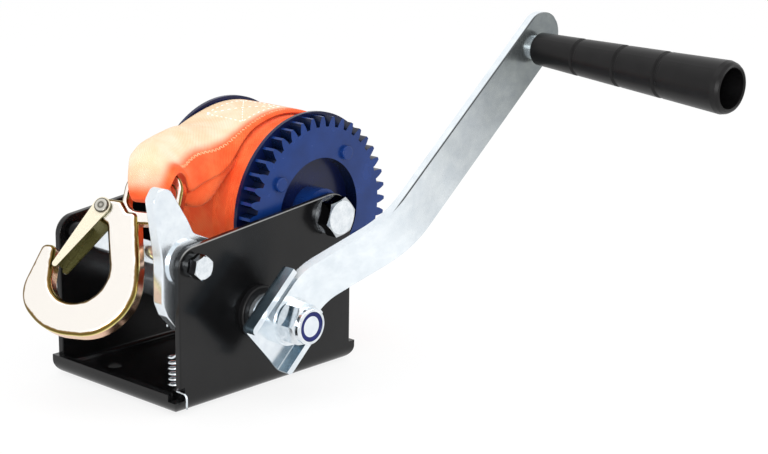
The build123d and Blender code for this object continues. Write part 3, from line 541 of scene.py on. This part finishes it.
def strapTable():
    right, up = hookAxes()
    bar = np.array(hookPlane["eye"]) + hookPlane["barV"] * up
    back = np.array([-right[1], right[0], 0.0])
    high = np.array([0.0, 0.0, 1.0])

    # on the wound strap, at an angle about the drum axis
    def lay(deg, nearR, middleR, farR):
        a = math.radians(deg)
        radii = (nearR - freeEnd["layFold"], nearR, middleR, farR)
        spots = zip(radii, freeEnd["layY"])
        return [[drum["x"] + r * math.cos(a), y, drum["z"] + r * math.sin(a)] for r, y in spots]

    # round the eye's bar, at an angle and radius about its line
    def overBar(deg, nearR, middleR, farR, flankR):
        a = math.radians(deg)
        ray = math.cos(a) * back + math.sin(a) * high
        near = bar + nearR * ray + freeEnd["eyeHalf"] * right
        edge = near + freeEnd["eyeFlank"] * right + flankR * ray
        return edge, near, bar + middleR * ray, bar + farR * ray - freeEnd["eyeHalf"] * right

    return [
        lay(40, 55.6, 55.6, 55.6),
        lay(58, 58.6, 58.6, 58.3),
        lay(68, 58.8, 58.8, 58.5),
        lay(80, 58.9, 58.9, 58.4),
        lay(96, 59.0, 59.0, 58.2),
        lay(110, 59.0, 59.2, 58.4),
        lay(122, 59.6, 60.6, 60.0),
        ([6.5, -20.0, 138.0], [4.0, -16.0, 141.2], [3.0, 8.0, 148.4], [3.0, 31.0, 144.2]),
        ([-2.0, -22.5, 130.0], [-8.0, -16.5, 138.0], [-12.0, 6.0, 151.6], [-10.0, 25.0, 143.0]),
        ([-13.0, -23.5, 126.5], [-19.0, -17.5, 139.4], [-25.0, 2.0, 151.4], [-24.0, 18.5, 142.0]),
        ([-24.0, -24.5, 125.0], [-29.5, -20.0, 138.0], [-38.0, -2.5, 150.4], [-37.0, 12.0, 142.0]),
        ([-34.0, -26.5, 122.5], [-39.0, -24.5, 134.5], [-50.5, -9.0, 149.2], [-50.0, 5.0, 143.0]),
        ([-39.7, -27.6, 121.5], [-42.4, -25.6, 135.7], [-55.0, -12.2, 147.2], [-55.8, 1.0, 143.0]),
        ([-37.5, -25.5, 128.7], [-45.5, -26.9, 137.4], [-59.2, -15.4, 144.8], [-61.3, -3.0, 142.6]),
        ([-46.0, -28.5, 135.9], [-49.1, -28.4, 139.1], [-63.2, -19.3, 140.0], [-66.6, -8.0, 139.4]),
        ([-53.5, -31.2, 135.0], [-54.0, -30.7, 136.5], [-67.0, -23.3, 135.2], [-71.9, -13.3, 135.2]),
        ([-58.4, -32.4, 127.9], [-58.5, -32.1, 128.6], [-66.9, -23.3, 125.4], [-72.2, -13.4, 125.3]),
        overBar(228, 14.4, 15.4, 15.6, -0.6),
        overBar(262, 13.4, 13.4, 13.4, -0.6),
        overBar(300, 11.4, 11.4, 11.4, 0.6),
        ([-34.0, -23.0, 121.0], [-36.5, -21.5, 112.5], [-41.0, -11.0, 113.5], [-44.0, -2.0, 115.0]),
        ([-25.0, -22.5, 125.0], [-27.0, -21.0, 110.0], [-31.0, -6.0, 111.5], [-34.0, 6.0, 113.0]),
        ([-14.5, -21.5, 128.0], [-17.5, -20.5, 113.2], [-19.0, -1.0, 115.0], [-21.0, 14.0, 118.0]),
        ([-6.0, -21.0, 130.0], [-9.5, -20.0, 121.0], [-10.5, 2.0, 123.0], [-11.5, 20.0, 125.0]),
        ([1.0, -20.0, 133.0], [-2.0, -19.5, 127.0], [-3.0, 3.0, 129.0], [-3.0, 24.0, 130.0]),
        ([10.0, -19.0, 135.0], [8.0, -18.5, 132.5], [7.0, 4.0, 133.5], [7.0, 26.0, 134.0]),
    ]


# Top across: P(t) = N (1-t)(1-2t) + M 4t(1-t) + F t(2t-1), which passes near, middle and far;
# flank: a quadratic from the edge to N whose corner lies on the slope of the top at N
def freeStrap():
    rows, columns, flankCount = freeEnd["rows"], freeEnd["columns"], freeEnd["flank"]
    table = strapTable()
    edge, near, middle, far = [bSpline([row[k] for row in table], rows) for k in range(4)]
    t = np.linspace(0, 1, columns)[None, :, None]
    top = near[:, None] * (1 - t) * (1 - 2 * t) + middle[:, None] * 4 * t * (1 - t)
    top = top + far[:, None] * t * (2 * t - 1)
    reachOut = freeEnd["swell"] * np.linalg.norm(edge - near, axis=1, keepdims=True)
    corner = near + reachOut * unit(near - top[:, freeEnd["slopeAt"]])
    f = np.linspace(0, 1, flankCount + 1)[None, :-1, None]
    flank = edge[:, None] * (1 - f) ** 2 + corner[:, None] * 2 * f * (1 - f) + near[:, None] * f**2
    points = np.concatenate([flank, top], axis=1)
    length = np.concatenate([[0], np.cumsum(np.linalg.norm(np.diff(middle, axis=0), axis=1))])
    width = np.linalg.norm(np.diff(points, axis=1), axis=2)
    reach = np.hstack([np.zeros((rows, 1)), np.cumsum(width, axis=1)])
    reach = reach - reach[:, flankCount : flankCount + 1]
    uv = np.stack([np.broadcast_to(length[:, None], reach.shape), reach], axis=-1)
    item = gridMesh("strapFreeEnd", points * mm, uv * mm)
    fades = []
    for place, key in ((uv[..., 0], "startFade"), (uv[..., 1], "edgeFade"), (uv[..., 0], "endFade")):
        start, end = freeEnd[key]
        fades.append(smoothStep((place - start) / (end - start)))
    # painted top light: faded in from the drum end and the near edge, faded out towards the hook
    paintedLight = fades[0] * fades[1] * (1 - fades[2])
    layer = item.data.attributes.new("paintedLight", "FLOAT", "POINT")
    layer.data.foreach_set("value", paintedLight.astype(np.float32).reshape(-1))
    wall = item.modifiers.new("webbing", "SOLIDIFY")
    wall.thickness = freeEnd["thick"] * mm
    wall.offset = 0.0
    span = width.sum(1)
    area = float((0.5 * (span[1:] + span[:-1]) * np.diff(length)).sum()) * mm * mm
    return item, float(length[-1]) * mm, area, points, length


freePiece, freeLength, freeArea, freePoints, freeAlong = freeStrap()
freePiece.data.materials.append(freeWebbing)
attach(freePiece, "frame")
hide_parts("strap_end")
print("free strap length", round(freeLength, 3))

# Sewing: a zigzag along the near line and a crossed box on the crest, in mm along and across
sewing = {
    "threadR": 0.42, "half": 1.45, "rings": 5, "sides": 6, "lift": 1.05, "tip": 0.94,
    "zigzag": {"start": 48.0, "end": 160.0, "pitch": 2.1, "across": 0.9, "lean": 0.55},
    "box": {"along": (44.0, 77.0), "across": (8.0, 41.0), "pitch": 3.9},
}


# points, along and across ways and normals of the free strap at (along, across) in mm
def onStrap(along, across):
    rows, columns = freePoints.shape[:2]
    first = freeEnd["flank"]
    span = np.linalg.norm(np.diff(freePoints[:, first:], axis=1), axis=2).sum(1)
    row = np.interp(along, freeAlong, np.arange(rows))
    column = first + across / np.interp(row, np.arange(rows), span) * (columns - 1 - first)
    i = np.clip(row.astype(int), 0, rows - 2)
    j = np.clip(column.astype(int), 0, columns - 2)
    u, v = (row - i)[:, None], (column - j)[:, None]
    a, b, c, d = freePoints[i, j], freePoints[i + 1, j], freePoints[i, j + 1], freePoints[i + 1, j + 1]
    place = (a * (1 - u) + b * u) * (1 - v) + (c * (1 - u) + d * u) * v
    onward = unit((b - a) * (1 - v) + (d - c) * v)
    normal = unit(np.cross((c - a) * (1 - u) + (d - b) * u, onward))
    return place, onward, np.cross(onward, normal), normal


# each stitch is a short thread: rings about its own line, radius R sqrt(1 - s^2) and its middle
# standing out from the cloth by lift - R s^2, closed by one point at each end
def threadMesh(name, place, way, normal):
    rings, sides, r = sewing["rings"], sewing["sides"], sewing["threadR"]
    s = np.linspace(-sewing["tip"], sewing["tip"], rings)[None, :, None, None]
    angle = np.linspace(0, 2 * np.pi, sides, endpoint=False)[None, None, :, None]
    thin = r * np.sqrt(1 - s * s)
    rise = sewing["lift"] - r * s * s
    place, way, normal, aside = [v[:, None, None, :] for v in (place, way, normal, np.cross(normal, way))]
    body = place + sewing["half"] * s * way + (rise + thin * np.sin(angle)) * normal
    body = body + thin * np.cos(angle) * aside
    tips = [place + e * sewing["half"] * way + (sewing["lift"] - r) * normal for e in (-1, 1)]
    count = len(body)
    points = [tips[0].reshape(count, 1, 3), body.reshape(count, -1, 3), tips[1].reshape(count, 1, 3)]
    points = np.concatenate(points, axis=1)
    each = points.shape[1]
    base = (np.arange(count) * each)[:, None, None]
    ring = 1 + np.arange(rings)[:, None] * sides + np.arange(sides)[None, :]
    turned = np.roll(ring, -1, axis=1)
    walls = np.stack([ring[:-1], turned[:-1], turned[1:], ring[1:]], axis=-1).reshape(1, -1, 4) + base
    head = np.stack([np.zeros(sides, int), turned[0], ring[0]], axis=-1)[None] + base
    tail = np.stack([np.full(sides, each - 1), ring[-1], turned[-1]], axis=-1)[None] + base
    faces = walls.reshape(-1, 4).tolist() + head.reshape(-1, 3).tolist() + tail.reshape(-1, 3).tolist()
    mesh = bpy.data.meshes.new(name)
    mesh.from_pydata((points.reshape(-1, 3) * mm).tolist(), [], faces)
    mesh.polygons.foreach_set("use_smooth", [True] * len(faces))
    mesh.update()
    item = bpy.data.objects.new(name, mesh)
    scene.collection.objects.link(item)
    return item


def strapZigzag():
    plan = sewing["zigzag"]
    along = np.arange(plan["start"], plan["end"], plan["pitch"])
    place, onward, sideways, normal = onStrap(along, np.full(len(along), plan["across"]))
    lean = np.where(np.arange(len(along)) % 2, plan["lean"], -plan["lean"])[:, None]
    return threadMesh("strapZigzag", place, unit(sideways + lean * onward), normal)


def strapBox():
    plan = sewing["box"]
    (a0, a1), (c0, c1) = plan["along"], plan["across"]
    corners = np.array([(a0, c0), (a1, c0), (a1, c1), (a0, c1)])
    spots, ways = [], []
    for i, j in [(0, 1), (1, 2), (2, 3), (3, 0), (0, 2), (3, 1)]:
        run = corners[j] - corners[i]
        steps = int(np.linalg.norm(run) / plan["pitch"])
        spots.append(corners[i] + ((np.arange(steps) + 0.5) / steps)[:, None] * run)
        ways.append(np.repeat(unit(run)[None], steps, axis=0))
    spots, ways = np.concatenate(spots), np.concatenate(ways)
    place, onward, sideways, normal = onStrap(spots[:, 0], spots[:, 1])
    way = unit(ways[:, :1] * onward + ways[:, 1:] * sideways)
    return threadMesh("strapBoxStitch", place, way, normal)


stitches = [strapZigzag(), strapBox()]
threads = [
    sewingThread("peachThread", "#F79A66", "#FFC096"),
    sewingThread("paleThread", "#FBF3E6", "#FFFDF8"),
]
for piece, thread in zip(stitches, threads):
    piece.data.materials.append(thread)
    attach(piece, "frame")
print("sewing made")

# Pawl spring: the CAD spring's own wire, merged and shaded smooth as one piece
spring = {"foot": (-0.0703, -0.047, 0.0145), "hook": (-0.0667, -0.047, 0.049), "merge": 0.001}


def pawlSpring():
    node = frame["nodes"]["pawl_spring"]
    mesh = node.data.copy()
    wire = bmesh.new()
    wire.from_mesh(mesh)
    bmesh.ops.remove_doubles(wire, verts=wire.verts, dist=spring["merge"] * mm)
    wire.to_mesh(mesh)
    wire.free()
    mesh.polygons.foreach_set("use_smooth", [True] * len(mesh.polygons))
    mesh.update()
    item = bpy.data.objects.new("pawlSpring", mesh)
    item.matrix_world = node.matrix_world
    scene.collection.objects.link(item)
    return item


springPiece = pawlSpring()
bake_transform(springPiece)
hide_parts("pawl_spring")
print("pawl spring made,", len(springPiece.data.vertices), "points")

# Floor, light and camera, in metres, watts and degrees
stage = {"floor": "#FAFAFA", "half": 4.0, "white": 0.82, "glow": 1.0}
softboxes = {
    "topSoftbox": {"place": (-0.25, -0.2, 1.3), "size": (1.2, 1.0), "power": 3.0},
    "leftSoftbox": {"place": (-1.15, -0.8, 0.32), "size": (0.7, 0.6), "power": 8.0},
    "rightSoftbox": {"place": (0.9, -1.3, 0.8), "size": (0.9, 0.9), "power": 5.0},
}
aim = Vector((0, 0, 0.1))
photoCamera = {
    "place": (-0.7289, -0.7988, 0.3706), "azimuth": -48.135, "elevation": 14.599, "roll": 0.9,
    "lens": 85.19, "film": 36.0, "clip": (0.01, 50.0),
}


# 1 for rays that see the backdrop itself, 0 for those that carry its light
def seenRay(tree):
    ray = addNode(tree, "ShaderNodeLightPath")
    values = {0: ray.outputs["Is Camera Ray"], 1: ray.outputs["Is Glossy Ray"]}
    seen = addNode(tree, "ShaderNodeMath", 0, values, operation="MAXIMUM")
    values = {0: seen, 1: ray.outputs["Is Transmission Ray"]}
    return addNode(tree, "ShaderNodeMath", 0, values, operation="MAXIMUM")


# Matt board: pale grey to the lamps, and mostly white itself, so that its shadows stay faint
def setStage():
    h = stage["half"]
    mesh = bpy.data.meshes.new("paleFloor")
    mesh.from_pydata([(-h, -h, 0), (h, -h, 0), (h, h, 0), (-h, h, 0)], [], [(0, 1, 2, 3)])
    floor = bpy.data.objects.new("paleFloor", mesh)
    scene.collection.objects.link(floor)
    material, tree = startMaterial("paleBoard")
    values = {"Base Color": hexColor(stage["floor"]), "Roughness": 0.7}
    board = addNode(tree, "ShaderNodeBsdfPrincipled", "BSDF", values)
    glow = addNode(tree, "ShaderNodeEmission", 0, {"Color": (1, 1, 1, 1), "Strength": stage["glow"]})
    share = addNode(tree, "ShaderNodeMath", 0, {0: seenRay(tree), 1: stage["white"]}, operation="MULTIPLY")
    both = addNode(tree, "ShaderNodeMixShader", 0, {0: share, 1: board, 2: glow})
    addNode(tree, "ShaderNodeOutputMaterial", None, {"Surface": both})
    mesh.materials.append(material)


def setWorld():
    world = bpy.data.worlds.new("studioSky")
    scene.world = world
    world.use_nodes = True
    tree = world.node_tree
    tree.nodes.clear()
    sky = addNode(tree, "ShaderNodeBackground", 0, {"Color": (1, 1, 1, 1), "Strength": stage["glow"]})
    addNode(tree, "ShaderNodeOutputWorld", None, {"Surface": sky})


def addSoftbox(name, plan):
    lamp = bpy.data.lights.new(name, "AREA")
    lamp.shape = "RECTANGLE"
    lamp.size, lamp.size_y = plan["size"]
    lamp.energy = plan["power"]
    item = bpy.data.objects.new(name, lamp)
    item.location = plan["place"]
    item.rotation_euler = (aim - Vector(plan["place"])).to_track_quat("-Z", "Y").to_euler()
    scene.collection.objects.link(item)


def setCamera():
    azimuth, elevation, roll = [math.radians(photoCamera[key]) for key in ("azimuth", "elevation", "roll")]
    level = Vector((math.cos(azimuth), math.sin(azimuth), 0))
    ahead = Vector((-math.sin(azimuth), math.cos(azimuth), 0))
    forward = math.cos(elevation) * ahead - Vector((0, 0, math.sin(elevation)))
    upright = level.cross(forward)
    right = math.cos(roll) * level + math.sin(roll) * upright
    up = -math.sin(roll) * level + math.cos(roll) * upright
    data = bpy.data.cameras.new("photoCamera")
    data.sensor_fit = "HORIZONTAL"
    data.sensor_width = photoCamera["film"]
    data.lens = photoCamera["lens"]
    data.clip_start, data.clip_end = photoCamera["clip"]
    item = bpy.data.objects.new("photoCamera", data)
    turn = Matrix((right, up, -forward)).transposed().to_4x4()
    item.matrix_world = Matrix.Translation(photoCamera["place"]) @ turn
    scene.collection.objects.link(item)
    scene.camera = item


setStage()
setWorld()
for name, plan in softboxes.items():
    addSoftbox(name, plan)
setCamera()
print("stage, light and camera set")
